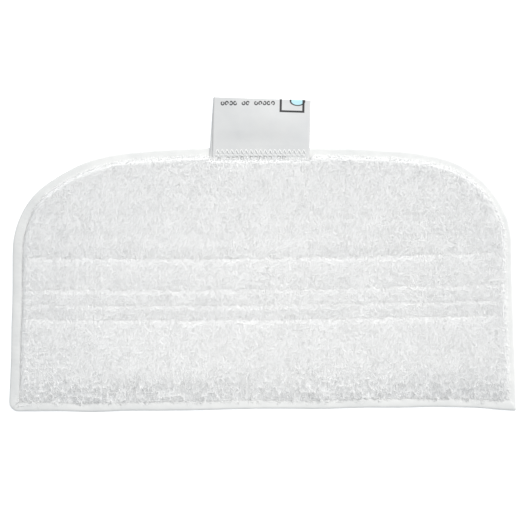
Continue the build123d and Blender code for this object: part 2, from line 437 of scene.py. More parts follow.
def weave_group():
    """A plain weave: over-and-under yarns as sin(x) times sin(y), with x and y across each yarn pair."""
    group, given, result = new_group(
        "plain_weave",
        [("Vector", "NodeSocketVector", None), ("Yarns", "NodeSocketFloat", 1500.0)],
        ["Height"],
    )
    parts = group.nodes.new("ShaderNodeSeparateXYZ")
    group.links.new(given.outputs["Vector"], parts.inputs[0])
    turns = maths(group, "MULTIPLY", given.outputs["Yarns"], math.tau / 2)
    across = maths(group, "SINE", maths(group, "MULTIPLY", parts.outputs[0], turns))
    along = maths(group, "SINE", maths(group, "MULTIPLY", parts.outputs[1], turns))
    height = maths(group, "MULTIPLY_ADD", maths(group, "MULTIPLY", across, along), 0.5, 0.5)
    group.links.new(height, result.inputs["Height"])
    return group


def felt_group():
    """Loose fibres lying every way: two noises, each stretched hard along its own direction."""
    group, given, result = new_group(
        "loose_felt",
        [("Vector", "NodeSocketVector", None), ("Scale", "NodeSocketFloat", 900.0)],
        ["Height"],
    )
    layers = []
    for turn in (0.5, 2.2):
        lay = group.nodes.new("ShaderNodeMapping")
        lay.inputs["Rotation"].default_value = (0.3, 0.2, turn)
        lay.inputs["Scale"].default_value = (0.12, 1.0, 0.6)
        group.links.new(given.outputs["Vector"], lay.inputs["Vector"])
        layers.append(noise(group, lay.outputs[0], given.outputs["Scale"], 4.0, 0.6))
    group.links.new(maths(group, "MAXIMUM", *layers), result.inputs["Height"])
    return group


def place_group(tree, group, **values):
    """Puts a group in a material, with its inputs linked or set, and returns its output."""
    node = tree.nodes.new("ShaderNodeGroup")
    node.node_tree = group
    for label, value in values.items():
        if isinstance(value, bpy.types.NodeSocket):
            tree.links.new(value, node.inputs[label])
        else:
            node.inputs[label].default_value = value
    return node.outputs[0]


def cloth_material(name, roughness, sheen):
    """A material with its Principled shader, its constants set on the shader's own sockets."""
    material = bpy.data.materials.new(name)
    material.use_nodes = True
    tree = material.node_tree
    shader = tree.nodes["Principled BSDF"]
    shader.inputs["Roughness"].default_value = roughness
    shader.inputs["Sheen Weight"].default_value = sheen
    shader.inputs["Sheen Roughness"].default_value = 0.6
    shader.inputs["Specular IOR Level"].default_value = 0.25
    coords = tree.nodes.new("ShaderNodeTexCoord")
    return material, tree, shader, coords


def ramp_colours(tree, mask, low, high, shader, from_value=0.3, to_value=0.7):
    """Mixes two colours by a mask and feeds Base Color."""
    ramp = tree.nodes.new("ShaderNodeValToRGB")
    ramp.color_ramp.elements[0].position = from_value
    ramp.color_ramp.elements[1].position = to_value
    ramp.color_ramp.elements[0].color = (*low, 1)
    ramp.color_ramp.elements[1].color = (*high, 1)
    tree.links.new(mask, ramp.inputs["Fac"])
    if shader is not None:
        tree.links.new(ramp.outputs["Color"], shader.inputs["Base Color"])
    return ramp.outputs["Color"]


def raise_bump(tree, height, strength, distance, shader):
    """Feeds a height through a Bump node to the shader's normal."""
    bump = tree.nodes.new("ShaderNodeBump")
    bump.inputs["Strength"].default_value = strength
    bump.inputs["Distance"].default_value = distance
    tree.links.new(height, bump.inputs["Height"])
    tree.links.new(bump.outputs["Normal"], shader.inputs["Normal"])


MOTTLE, WEAVE, FELT = mottle_group(), weave_group(), felt_group()

# %% [markdown]
# ### Microfibre pile
#
# The pile's colour holds painted shade: bright white at the tips and a cooler grey down among the
# roots, where less light gets in. The tufts carry a `tip` attribute for that, 0 at the root and 1 at
# the end. A soft mottle keeps neighbouring clumps from being the same white.

# %% Microfibre
def microfibre():
    material, tree, shader, coords = cloth_material("microfibre_pile", 0.95, 0.25)
    tip = tree.nodes.new("ShaderNodeAttribute")
    tip.attribute_name = "tip"
    patches = place_group(tree, MOTTLE, Vector=coords.outputs["Object"], Scale=90.0)
    # Painted shade: a low tip gives the cooler grey of the roots; the mottle adds random tone.
    share = maths(tree, "MULTIPLY_ADD", tip.outputs["Fac"], 0.55, maths(tree, "MULTIPLY", patches, 0.6))
    ramp_colours(tree, share, (0.95, 0.955, 0.96), (0.985, 0.985, 0.98), shader, 0.2, 0.85)
    fibres = place_group(tree, FELT, Vector=coords.outputs["Object"], Scale=1400.0)
    raise_bump(tree, fibres, 0.2, 0.15 * MM, shader)
    return material


MICROFIBRE = microfibre()

# %% [markdown]
# ### Tape, ribbon, thread, wadding and loop cloth
#
# The tape is a plain weave, dull and a little greyer than the pile. The ribbon is satin: the same
# weave, much finer, and a shinier surface. Thread, wadding and the brushed loop cloth are all felts
# of loose fibres, each with a scale of its own.

# %% The other finishes
def woven_tape():
    material, tree, shader, coords = cloth_material("woven_tape", 0.8, 0.1)
    patches = place_group(tree, MOTTLE, Vector=coords.outputs["Object"], Scale=45.0)
    ramp_colours(tree, patches, (0.70, 0.71, 0.71), (0.77, 0.775, 0.77), shader)
    weave = place_group(tree, WEAVE, Vector=coords.outputs["UV"], Yarns=2200.0)
    raise_bump(tree, weave, 0.35, 0.06 * MM, shader)
    return material


def sewing_thread():
    material, tree, shader, coords = cloth_material("sewing_thread", 0.6, 0.1)
    patches = place_group(tree, MOTTLE, Vector=coords.outputs["Object"], Scale=400.0)
    ramp_colours(tree, patches, (0.84, 0.85, 0.85), (0.93, 0.93, 0.92), shader)
    fibres = place_group(tree, FELT, Vector=coords.outputs["Object"], Scale=5000.0)
    raise_bump(tree, fibres, 0.4, 0.08 * MM, shader)
    return material


def needled_wadding():
    material, tree, shader, coords = cloth_material("needled_wadding", 1.0, 0.2)
    patches = place_group(tree, MOTTLE, Vector=coords.outputs["Object"], Scale=70.0)
    ramp_colours(tree, patches, (0.84, 0.84, 0.82), (0.94, 0.94, 0.92), shader)
    fibres = place_group(tree, FELT, Vector=coords.outputs["Object"], Scale=700.0)
    raise_bump(tree, fibres, 0.9, 0.5 * MM, shader)
    return material


def brushed_loop():
    material, tree, shader, coords = cloth_material("brushed_loop", 0.9, 0.2)
    patches = place_group(tree, MOTTLE, Vector=coords.outputs["Object"], Scale=80.0)
    ramp_colours(tree, patches, (0.78, 0.795, 0.81), (0.88, 0.89, 0.90), shader)
    fibres = place_group(tree, FELT, Vector=coords.outputs["Object"], Scale=1800.0)
    raise_bump(tree, fibres, 0.8, 0.3 * MM, shader)
    return material


TAPE, THREAD, WADDING, LOOP = woven_tape(), sewing_thread(), needled_wadding(), brushed_loop()

# %% [markdown]
# ## How the quilt swells
#
# Between its seams a quilt is as thick as its wadding lets it be, and along a seam the thread pulls
# it down to a valley. The seams' lines come from the CAD threads. The pile is thick, so the valleys
# are soft: the first and the last are clear, and the two between are shallow. Towards the front the
# pile runs down to the tape in a long slope. At the back and the right it stands up beside the tape
# and then goes on rising gently. At the left it rises in one long soft curve.

# %% Seams and heights
SEAM_COUNT = 4
VALLEY_DEPTHS = np.array([0.5, 0.25, 0.25, 0.5]) * MM
VALLEY_FAR_BANK = 5.0 * MM
VALLEY_NEAR_BANK = 2.6 * MM
GROOVE = 0.45 * MM
GROOVE_WIDTH = 0.5 * MM


def seam_line(number):
    """A quilting seam as a parabola y(x), fitted through the CAD thread's points."""
    mesh = frame["nodes"][f"quilt_needle_thread_{number}"].data
    points = np.array([v.co for v in mesh.vertices])
    return np.polyfit(points[:, 0], points[:, 1], 2)


SEAMS = [seam_line(number + 1) for number in range(SEAM_COUNT)]
print("seams cross the middle at, in mm:", [round(float(s[2]) / MM, 1) for s in SEAMS])

FLANGE = 6.4 * MM
TAPE_GRIP = 7 * MM
WADDING_EDGE = 9.5 * MM
FRONT_BARE = 3.7 * MM
PILE_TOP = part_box("face_cloth")[1].z
RIM_FACE = TAPE_HIGH.z - 0.5 * MM

# Distance in from the tape and the share of the full height there, at the sides and the rear.
EDGE_SLOPE = np.array([
    (0, 0), (0.5, 0.26), (1.2, 0.5), (3, 0.6), (6, 0.7), (10, 0.79), (15, 0.88), (20, 0.94), (28, 1.0),
])
# The same along the front.
FRONT_SLOPE = np.array([
    (0, 0), (0.1, 0.05), (3, 0.29), (6, 0.485), (10, 0.7), (14, 0.865), (18, 0.965), (22, 1.0),
])


def side_bare(x):
    """How much of the tape's width the pile leaves bare: less at the right than at the left."""
    return (5.5 - 0.4 * ease((x + 100 * MM) / (200 * MM)) - 0.8 * ease((x - 90 * MM) / (60 * MM))) * MM


def edge_rise(x, y, depth, out):
    """The share of the full height at the sides and the rear. The left side rises in a long curve
    with a soft foot. Elsewhere the pile is brushed up against the tape and rises at once."""
    rear = ease((out[..., 1] - 0.3) / 0.5)
    left = ease((-x - 60 * MM) / (60 * MM)) * (1 - rear)
    beyond = np.maximum(beyond_tape(x, y, depth)[0], 0)
    beyond = beyond * (1 + 0.15 * patchy(x, y, 12 * MM, 44))
    gentle = np.interp(beyond / (1 + 0.5 * left) / MM, *EDGE_SLOPE.T)
    gentle = gentle * (1 - 0.5 * left * (1 - ease(beyond / (4 * MM))))
    return gentle + (1 - gentle) * 0.8 * (1 - left) * ease(beyond / (1.5 * MM))


def tab_room(x, y):
    """The pile starts a little farther in under the pull tab's sewn end."""
    wide = ease((x + 34 * MM) / (3 * MM)) * ease((32 * MM - x) / (3 * MM))
    return 2.4 * MM * wide * (y > 60 * MM)


def beyond_tape(x, y, depth):
    """How far in from the bare strip of tape a place is: from the sides and rear, and from the
    front."""
    from_sides = depth_from_sides(x, y, depth) - side_bare(x) - tab_room(x, y)
    return from_sides, depth_from_front(x, y) - FRONT_BARE


def valley(x, y, share=1.0):
    """How far the quilting pulls the cloth down at (x, y): a bell across each seam, wide behind it
    and narrow in front of it, because the pile is brushed forwards over the seam."""
    pull = np.zeros_like(x)
    for line, depth in zip(SEAMS, VALLEY_DEPTHS):
        off = y - np.polyval(line, x) + 0.7 * MM * patchy(x, y, 3 * MM, 32)
        width = np.where(off > 0, VALLEY_FAR_BANK, VALLEY_NEAR_BANK)
        wander = 1 + 0.4 * patchy(x, y, 14 * MM, 31)
        soft = share * depth * wander * bell(off, width)
        pull = np.maximum(pull, soft + GROOVE * bell(off, GROOVE_WIDTH))
    return pull


def undulation(x, y):
    """The slow unevenness of a washed quilt: long low ridges across it, and broad soft patches."""
    ridges = patchy(x, y, 15 * MM, 41, stretch=9.0)
    rear_ridges = 0.1 * MM * np.cos((y - 33 * MM) * 2 * np.pi / (13 * MM)) * bell(y - 31 * MM, 16 * MM)
    return 0.15 * MM * ridges + 0.2 * MM * patchy(x, y, 30 * MM, 42) + rear_ridges


def pile_height(x, y):
    """The height of the pile's outer surface: the rise of the sides and rear, times that of the
    front, less the valleys, plus the unevenness, which fades out towards the tape."""
    depth, out = depth_inside(x, y)
    from_front = beyond_tape(x, y, depth)[1]
    wave = 1 + 0.12 * patchy(x, y, 16 * MM, 43)
    rise = edge_rise(x, y, depth, out) * np.interp(from_front * wave / MM, *FRONT_SLOPE.T)
    uneven = (undulation(x, y) - valley(x, y)) * ease((depth - FLANGE) / (9 * MM))
    return RIM_FACE + (PILE_TOP - 0.4 * MM - RIM_FACE) * rise + uneven


# %% [markdown]
# ## The face cloth
#
# A terry cloth is a ground with a pile standing on it. The ground is one closed layer that follows
# the swelling of the quilt, a little below the pile's surface and squeezed thin where the tape
# grips it. It is a stuffed piece, not a sheet, because the pile gives it its body.

# %% Face cloth
PILE_STAND = 0.65 * MM
CORE_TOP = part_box("absorbent_core")[1].z
BACKING_TOP = 1.2 * MM


def wadding_height(x, y):
    """The top of the wadding: crowned, pulled down along the seams, and always inside the pile."""
    depth, _ = depth_inside(x, y)
    in_share = np.clip((depth - WADDING_EDGE) / (7 * MM), 0, 1)
    rise = np.sqrt(np.clip(1 - (1 - in_share) ** 2, 0, 1))
    swollen = BACKING_TOP + 0.2 * MM + (CORE_TOP - BACKING_TOP) * rise - valley(x, y, 0.7) * rise
    return np.minimum(swollen, pile_height(x, y) - 1.6 * MM)


def face_ground():
    plan, cells, border = plan_grid(1.0 * MM, 0.9 * MM)
    x, y = plan.T
    depth, _ = depth_inside(x, y)
    inner = ease(np.minimum(*beyond_tape(x, y, depth)) / (0.8 * MM))
    clumps = 0.12 * MM * patchy(x, y, 1.6 * MM, 51, stretch=1.8, lie=-1.0)
    top = np.maximum(pile_height(x, y) - inner * (PILE_STAND - clumps), RIM_FACE)
    rim_floor = 1.65 * MM
    over_wadding = np.maximum(wadding_height(x, y) + 0.1 * MM, rim_floor)
    under = np.where(depth > WADDING_EDGE, over_wadding, rim_floor)
    top = np.maximum(top, under + 0.4 * MM)
    # Its tip is 0 all over, so the microfibre gives it the roots' cooler grey, a painted shade.
    return layer_piece("face_ground", plan, cells, border, top, under, MICROFIBRE)


ground = face_ground()
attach(ground, "pad")
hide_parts("face_cloth")

# %% [markdown]
# ## The pile
#
# Washed microfibre stands in small matted tufts that lean the way the cloth was last wiped. Hair
# would draw them, but hair isn't a mesh, so each tuft is a tiny closed horn of a few faces: it
# leaves the ground upright, bends over along the nap and ends in a point. Tips that belong to one
# clump lean together. Beside the tape the tufts fall outwards, over its edge.

# %% Tufts
TUFT_SPACING = 0.68 * MM
CLUMP_SPACING = 3.0 * MM
CLUMP_TABLE = 512
NUDGE = 0.42
NAP = -math.radians(58)
TUFT_RINGS = np.array([0.0, 0.5])
TUFT_SIDES = 3


def honeycomb(spacing, inset, seed):
    """Points of a honeycomb over the plan, each nudged by up to NUDGE of the spacing."""
    low, high = rim.min(0), rim.max(0)
    rows = np.arange(low[1], high[1], spacing * math.sqrt(0.75))
    columns = np.arange(low[0], high[0], spacing)
    x = columns[None] + (np.arange(len(rows)) % 2)[:, None] * spacing / 2
    y = np.repeat(rows[:, None], len(columns), 1)
    random = np.random.default_rng(seed)
    x = x + random.uniform(-NUDGE, NUDGE, x.shape) * spacing
    y = y + random.uniform(-NUDGE, NUDGE, x.shape) * spacing
    x, y = x.ravel(), y.ravel()
    depth, _ = depth_inside(x, y)
    return np.stack([x, y], 1)[depth > inset]


def nearest_clump(points, spacing, seed):
    """For each point, the nearest of a grid of nudged clump centres, and that clump's number.
    Only the nine cells around a point can hold it. The table of nudges repeats every CLUMP_TABLE
    cells, and so do the numbers."""
    table = np.random.default_rng(seed).uniform(0.1, 0.9, (CLUMP_TABLE, CLUMP_TABLE, 2))
    cell = np.floor(points / spacing).astype(int)
    best = np.full(len(points), np.inf)
    centre = np.zeros_like(points)
    number = np.zeros(len(points), int)
    for dx in (-1, 0, 1):
        for dy in (-1, 0, 1):
            at = cell + (dx, dy)
            row, column = at[:, 0] % CLUMP_TABLE, at[:, 1] % CLUMP_TABLE
            place = (at + table[row, column]) * spacing
            far = np.linalg.norm(place - points, axis=1)
            closer = far < best
            best = np.where(closer, far, best)
            centre[closer] = place[closer]
            number = np.where(closer, row * CLUMP_TABLE + column, number)
    return centre, number


def slope_of(x, y):
    """The pile surface's upward normal, from its heights a little to each side."""
    step = 1.2 * MM
    dx = (pile_height(x + step, y) - pile_height(x - step, y)) / (2 * step)
    dy = (pile_height(x, y + step) - pile_height(x, y - step)) / (2 * step)
    normal = np.stack([-dx, -dy, np.ones_like(dx)], 1)
    return normal / np.linalg.norm(normal, axis=1, keepdims=True)


def horn_faces(rings, sides):
    """The triangles of one horn: walls between rings, a point at the end and a lid at the root."""
    faces = []
    for ring in range(rings - 1):
        for side in range(sides):
            a, b = ring * sides + side, ring * sides + (side + 1) % sides
            faces += [(a, b, b + sides), (a, b + sides, a + sides)]
    last = (rings - 1) * sides
    faces += [(last + side, last + (side + 1) % sides, rings * sides) for side in range(sides)]
    faces += [(0, side + 1, side) for side in range(1, sides - 1)]
    return np.array(faces)


def horns(root, up, lean, radius, seed):
    """The points of many horns, each of rings of three points and a tip.
    The middle line is root + up * (1 - (1 - t)^1.7) + lean * t^1.6, and the radius is
    radius * (1 - t)^0.55, so that a horn leaves the ground upright and tapers to its point."""
    turn = np.random.default_rng(seed).uniform(0, 2 * np.pi, len(root))
    side = np.cross(up, lean + 1e-9)
    side /= np.maximum(np.linalg.norm(side, axis=1, keepdims=True), 1e-12)
    front = np.cross(side, up)
    front /= np.maximum(np.linalg.norm(front, axis=1, keepdims=True), 1e-12)
    points = []
    for t in TUFT_RINGS:
        middle = root + up * (1 - (1 - t) ** 1.7) + lean * t**1.6
        wide = radius * (1 - t) ** 0.55
        for k in range(TUFT_SIDES):
            a = turn + 2 * np.pi * k / TUFT_SIDES
            across = side * (wide * np.cos(a))[:, None]
            forward = front * (wide * np.sin(a))[:, None]
            points.append(middle + across + forward)
    points.append(root + up + lean)
    return np.stack(points, 1)


def pile_tufts():
    """Roots over the plan inside the tape, grown by the lie of the pile there."""
    plan = honeycomb(TUFT_SPACING, FRONT_BARE, 61)
    depth, out = depth_inside(*plan.T)
    edge, front = beyond_tape(*plan.T, depth)
    grown = np.minimum(edge, front) > 0.1 * MM
    plan, depth, out, edge, front = (values[grown] for values in (plan, depth, out, edge, front))
    x, y = plan.T
    random = np.random.default_rng(62)
    clump, number = nearest_clump(plan, CLUMP_SPACING, 63)
    own = np.random.default_rng(64).uniform(-1, 1, (CLUMP_TABLE**2, 2))[number]
    shag = ease((-y - 58 * MM) / (8 * MM))
    stray = 0.22 * patchy(x, y, 9 * MM, 65) + (0.1 + 0.35 * shag) * own[:, 0]
    lie = NAP + stray + random.uniform(-0.28, 0.28, len(x))
    nap = np.stack([np.cos(lie), np.sin(lie)], 1)
    falling = 1 - ease(np.minimum(edge, front) / (2.5 * MM))
    loose = falling * ease((front - edge) / (3 * MM)) * random.uniform(0, 1, len(x))
    nap = nap * (1 - falling[:, None]) + out * falling[:, None]
    length = 1.0 + (0.06 + 0.26 * shag) * own[:, 1] + random.uniform(-0.15, 0.15, len(x))
    length = (length + 0.4 * falling + 1.3 * loose) * MM
    leaning = (clump - plan) * (0.12 + 0.2 * shag)[:, None]
    leaning += nap * ((0.95 + 0.3 * falling) * length)[:, None]
    lean = np.column_stack([leaning, np.zeros(len(x))])
    normal = slope_of(x, y)
    lean -= normal * np.sum(lean * normal, 1, keepdims=True) * 0.8
    root_z = pile_height(x, y) - 1.2 * PILE_STAND + 0.9 * MM * falling * (tab_room(x, y) > 0)
    root_z = np.maximum(root_z, (TAPE_HIGH.z - 0.25 * MM) * (depth < TAPE_GRIP))
    root = np.column_stack([plan, root_z])
    up = normal * (length * (1 - 0.4 * falling))[:, None]
    radius = random.uniform(0.17, 0.28, len(x)) * MM
    return plan, horns(root, up, lean, radius, 66)


TUFT_FACES = horn_faces(len(TUFT_RINGS), TUFT_SIDES)
TUFT_TIP = np.append(np.repeat(TUFT_RINGS, TUFT_SIDES), 1.0)
tuft_plan, tuft_points = pile_tufts()
TUFT_PANELS = 8
panel_edges = np.quantile(tuft_plan[:, 1], np.linspace(0, 1, TUFT_PANELS + 1))
for panel in range(TUFT_PANELS):
    inside = (tuft_plan[:, 1] >= panel_edges[panel]) & (tuft_plan[:, 1] < panel_edges[panel + 1])
    name, points = f"pile_tufts_{panel + 1}", tuft_points[inside]
    tufts = repeated_piece(name, points, TUFT_FACES, MICROFIBRE, TUFT_TIP)
    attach(tufts, "pad")

# %% [markdown]
# ## Wadding and loop cloth
#
# Neither shows from above, but both belong to the pad and both can be taken out of it. The wadding
# is crowned and pulled down along the seams. The loop cloth lies on the floor, with a small dimple
# wherever a seam pulls it up.

# %% Inner and under layers
def wadding():
    plan, cells, border = plan_grid(1.8 * MM, 10.2 * MM)
    x, y = plan.T
    uneven = 0.15 * MM * patchy(x, y, 5 * MM, 71)
    floor = np.full(len(plan), BACKING_TOP + 0.12 * MM)
    top = np.maximum(wadding_height(x, y) - 0.15 * MM + uneven, floor + 0.3 * MM)
    return layer_piece("wadding_sheet", plan, cells, border, top, floor, WADDING)


def loop_cloth():
    plan, cells, border = plan_grid(1.4 * MM, 1.0 * MM)
    x, y = plan.T
    depth, _ = depth_inside(x, y)
    lift = 0.9 * MM * (1 - ease((depth - 3 * MM) / (5 * MM)))
    dimple = sum(bell(y - np.polyval(line, x), 1.1 * MM) for line in SEAMS)
    dimple = dimple * ease((depth - TAPE_GRIP) / (2 * MM))
    puff = 0.12 * MM * (1 + patchy(x, y, 7 * MM, 72))
    under = lift + 0.55 * MM * dimple + puff * ease(depth / (8 * MM)) * 0.5
    top = np.maximum(under + 0.7 * MM, BACKING_TOP - 0.05 * MM - 0.2 * MM * dimple)
    top = np.where(depth < TAPE_GRIP, np.minimum(top, 1.6 * MM), top)
    return layer_piece("loop_cloth", plan, cells, border, top, under, LOOP)


core = wadding()
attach(core, "pad")
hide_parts("absorbent_core")

backing = loop_cloth()
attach(backing, "pad")
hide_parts("loop_backing")

# %% [markdown]
# ## The edge tape
#
# Binding is one long tape folded over the raw edges. Its section is a U on its side, so it is a
# profile carried along the outline: over the top, round the fold and back under. It puffs a little
# between the fold and the seam, the seam pulls it down in a row of puckers, and beyond the seam the
# selvedge stands up again. At the front left corner the tape is folded over itself in a mitre, and
# at the front right its two ends cross.

# %% Tape profile
TAPE_WIDTH = 6.5 * MM
TAPE_THICKNESS = 0.42 * MM
SEAM_INSET = 6.0 * MM
STITCH_PITCH = 3.0 * MM
TAPE_STEP = 0.75 * MM
TAPE_BLUR = 1.2 * MM


def tape_profile(flat_points, fold_points):
    """Depth in from the fold and height, round a U: along the top, half an ellipse, along the bottom."""
    flat = np.linspace(1, 0, flat_points) ** 0.85
    top_z, low_z = TAPE_HIGH.z - TAPE_THICKNESS / 2, TAPE_LOW.z + TAPE_THICKNESS / 2
    fold_in = 1.3 * MM
    across = fold_in + flat * (TAPE_WIDTH - fold_in)
    turn = np.linspace(0, np.pi, fold_points + 2)[1:-1]
    fold_a = fold_in - (fold_in - TAPE_THICKNESS / 2) * np.sin(turn)
    fold_z = (top_z + low_z) / 2 + (top_z - low_z) / 2 * np.cos(turn)
    depth = np.concatenate([across, fold_a, across[::-1]])
    height = np.concatenate([np.full(flat_points, top_z), fold_z, np.full(flat_points, low_z)])
    upper = np.concatenate([np.ones(flat_points), (1 + np.cos(turn)) / 2, np.zeros(flat_points)])
    return depth, height, upper


def corner_distance(at):
    """How far along the outline a place is from the front right corner, either way."""
    return np.minimum(at, RIM_LENGTH - at)


def front_left_place():
    """Where along the outline the front left corner is."""
    return rim_at[np.argmin(rim[:, 0] + rim[:, 1])]


FRONT_LEFT_AT = front_left_place()


def tape_surface(at, depth, height, upper):
    """The tape's middle surface: x, y and z for places along the outline and round the profile."""
    at, depth = np.broadcast_arrays(at[:, None], depth[None])
    out = rim_outward(at, TAPE_BLUR)
    ends_here = ease((at - (RIM_LENGTH - 12 * MM)) / (8 * MM))
    room = corner_distance(at) + (0.5 + 1.6 * ends_here) * MM
    deep = np.minimum(depth, room)
    wide = 1 + 0.06 * patchy(at, depth * 0, 17 * MM, 81)
    base = rim_point(at) - out * (deep * wide)[..., None]
    pucker = np.cos(at * 2 * np.pi / STITCH_PITCH)
    right_side = ease((at - 8 * MM) / (10 * MM)) * (1 - ease((at - 95 * MM) / (20 * MM)))
    strong = 1 + 1.4 * right_side
    puff = 0.28 * MM * np.sin(np.clip(depth / SEAM_INSET, 0, 1) * np.pi) ** 0.8
    puff = puff * (1 + 0.5 * patchy(at, depth * 0, 8 * MM, 82))
    slack_left = 1 - 0.7 * ease(-out[..., 0])
    pull = 0.34 * MM * bell(depth - SEAM_INSET, 0.55 * MM) * (0.6 + 0.4 * pucker) * slack_left
    ripple = 0.05 * MM * strong * pucker * bell(depth - 4.3 * MM, 1.6 * MM)
    past = at - FRONT_LEFT_AT
    crease = 0.35 * MM * (ease(past / (9 * MM) + 1) - ease(past / (0.6 * MM) + 0.5))
    crease = crease - 0.3 * MM * bell(past, 0.5 * MM)
    lap = TAPE_THICKNESS * ends_here
    slack = 0.12 * MM * patchy(at, depth, 5 * MM, 83)
    tilt = (0.13 - 0.05 * out[..., 0]) * ease((out[..., 1] + 0.6) / 0.5) * (depth - 3 * MM)
    raised = puff - pull + ripple + slack + crease + lap + tilt
    edge_wave = 0.25 * MM * patchy(at, depth * 0, 21 * MM, 84)
    z = height[None] + raised * upper[None] - 0.5 * (puff - pull) * (1 - upper[None]) * 0.6
    z = np.maximum(z, TAPE_THICKNESS / 2 + 0.02 * MM)
    xy = base + out * (edge_wave * (1 - depth / TAPE_WIDTH))[..., None]
    return np.concatenate([xy, z[..., None]], -1)


def edge_tape():
    profile = tape_profile(12, 9)
    places = np.linspace(0, RIM_LENGTH * (1 - 1e-6), int(RIM_LENGTH / TAPE_STEP))
    grid = tape_surface(places, *profile)
    round_it = np.concatenate([[0], np.cumsum(np.hypot(np.diff(profile[0]), np.diff(profile[1])))])
    flat = np.stack(np.broadcast_arrays(round_it[None], places[:, None]), -1)
    print("tape width in mm:", round(round_it[-1] / MM, 1))
    return strip_piece("edge_tape", grid, TAPE_THICKNESS, flat, TAPE), round_it[-1]


tape, tape_cut_width = edge_tape()
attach(tape, "pad")
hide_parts("edge_binding")

# %% [markdown]
# ## Stitches
#
# A lockstitch seam shows as a row of short threads, each going down a needle hole at both ends. One
# stitch is a little tube that is bent down at its ends. The CAD threads are continuous strips, so
# each is replaced by a row of such stitches along the same line, on the cloth's own surface.

# %% Stitch helper
STITCH_SHARES = np.array([-1.0, -0.82, -0.35, 0.35, 0.82, 1.0])
STITCH_SWELL = np.array([0.55, 0.9, 1.0, 1.0, 0.9, 0.55])
STITCH_SIDES = 6
STITCH_HALF = 0.43
THREAD_RADIUS = 0.2 * MM
BOBBIN_HEIGHT = 0.42 * MM


def stitch_faces():
    """Four-sided walls between the rings of a stitch, and a fan of quads over each end."""
    faces = []
    for ring in range(len(STITCH_SHARES) - 1):
        for side in range(STITCH_SIDES):
            a, b = ring * STITCH_SIDES + side, ring * STITCH_SIDES + (side + 1) % STITCH_SIDES
            faces.append((a, b, b + STITCH_SIDES, a + STITCH_SIDES))
    last = (len(STITCH_SHARES) - 1) * STITCH_SIDES
    faces += [(3, 2, 1, 0), (5, 4, 3, 0)]
    faces += [(last, last + 1, last + 2, last + 3), (last, last + 3, last + 4, last + 5)]
    return np.array(faces)


def stitch_row(name, start, end, up, radius, node, arch=0.14 * MM, dip=0.3 * MM):
    """A stitch from each start to each end: its middle line rises by arch and dips at the ends."""
    middle, half = (start + end) / 2, (end - start) / 2
    along = half / np.linalg.norm(half, axis=1, keepdims=True)
    side = np.cross(up, along)
    points = []
    for share, swell in zip(STITCH_SHARES, STITCH_SWELL):
        height = arch * (1 - share**2) - dip * abs(share) ** 6
        centre = middle + half * share + up * height
        for k in range(STITCH_SIDES):
            a = 2 * np.pi * k / STITCH_SIDES
            points.append(centre + (side * math.cos(a) + up * math.sin(a)) * radius * swell)
    shapes = np.stack(points, 1)
    piece = repeated_piece(name, shapes, stitch_faces(), THREAD)
    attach(piece, "pad")
    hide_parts(node)
    return piece


UP, DOWN = np.array([0.0, 0.0, 1.0]), np.array([0.0, 0.0, -1.0])

# %% Seams of the tape and the quilting
def binding_seam(name, node, side, height):
    """Stitches round the tape, SEAM_INSET in from its fold. Each one reaches STITCH_HALF of the
    pitch to either side of its middle, so that a gap is left at the needle holes."""
    count = int(RIM_LENGTH / STITCH_PITCH)
    at = (np.arange(count) + 0.5) * STITCH_PITCH
    inset = np.minimum(SEAM_INSET, corner_distance(at) + 0.4 * MM)
    ends = []
    for shift in (-STITCH_HALF, STITCH_HALF):
        place = at + shift * STITCH_PITCH
        xy = rim_point(place) - rim_outward(place, TAPE_BLUR) * inset[:, None]
        ends.append(np.column_stack([xy, np.full(count, height)]))
    return stitch_row(name, ends[0], ends[1], side, THREAD_RADIUS, node)


binding_seam("tape_needle_stitches", "binding_needle_thread", UP, TAPE_HIGH.z - 0.05 * MM)
binding_seam("tape_bobbin_stitches", "binding_bobbin_thread", DOWN, BOBBIN_HEIGHT)

for number in range(1, SEAM_COUNT + 1):
    for kind, side in (("needle", UP), ("bobbin", DOWN)):
        node = f"quilt_{kind}_thread_{number}"
        low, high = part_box(node)
        count = int((high.x - low.x) / STITCH_PITCH)
        x = low.x + (np.arange(count) + 0.5) * STITCH_PITCH
        ends = []
        for shift in (-STITCH_HALF, STITCH_HALF):
            place = x + shift * STITCH_PITCH
            y = np.polyval(SEAMS[number - 1], place)
            ends.append(np.column_stack([place, y, np.full(count, (low.z + high.z) / 2)]))
        name = f"quilt_{kind}_stitches_{number}"
        stitch_row(name, ends[0], ends[1], side, THREAD_RADIUS, node)

# %% [markdown]
# ## The pull tab
#
# The tab is one satin ribbon folded in half and sewn down by its two cut ends. It was folded a
# little askew, so the under ply shows beyond the upper one on the left. The free part turns about
# the sewn line, so the ribbon is one piece that bends between the pad and the tab.

# %% Ribbon surface
HINGE = np.array(frame["joints"][0]["pos_m"])
ROOT_LOW, ROOT_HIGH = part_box("pull_tab_root")
TAB_END_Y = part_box("pull_tab")[1].y
RIBBON_THICKNESS = 0.24 * MM
FOLD_RADIUS = 0.6 * MM
FOLD_SHARE = 0.03
TIP_LEFT_Y = TAB_END_Y + 0.3 * MM
TIP_RIGHT_Y = TAB_END_Y - 1.8 * MM
CUT_END_Y = ROOT_LOW.y - 2.2 * MM
UNDER_CUT_BACK = 1.6 * MM
CUT_RAGGED = 0.25 * MM
UPPER_ROOT = (-31.3 * MM, 29.7 * MM)
UNDER_ROOT = (-33.0 * MM, 28.0 * MM)
TIP_SPAN = (-30.6 * MM, 30.8 * MM)
RIBBON_COLUMNS = 62


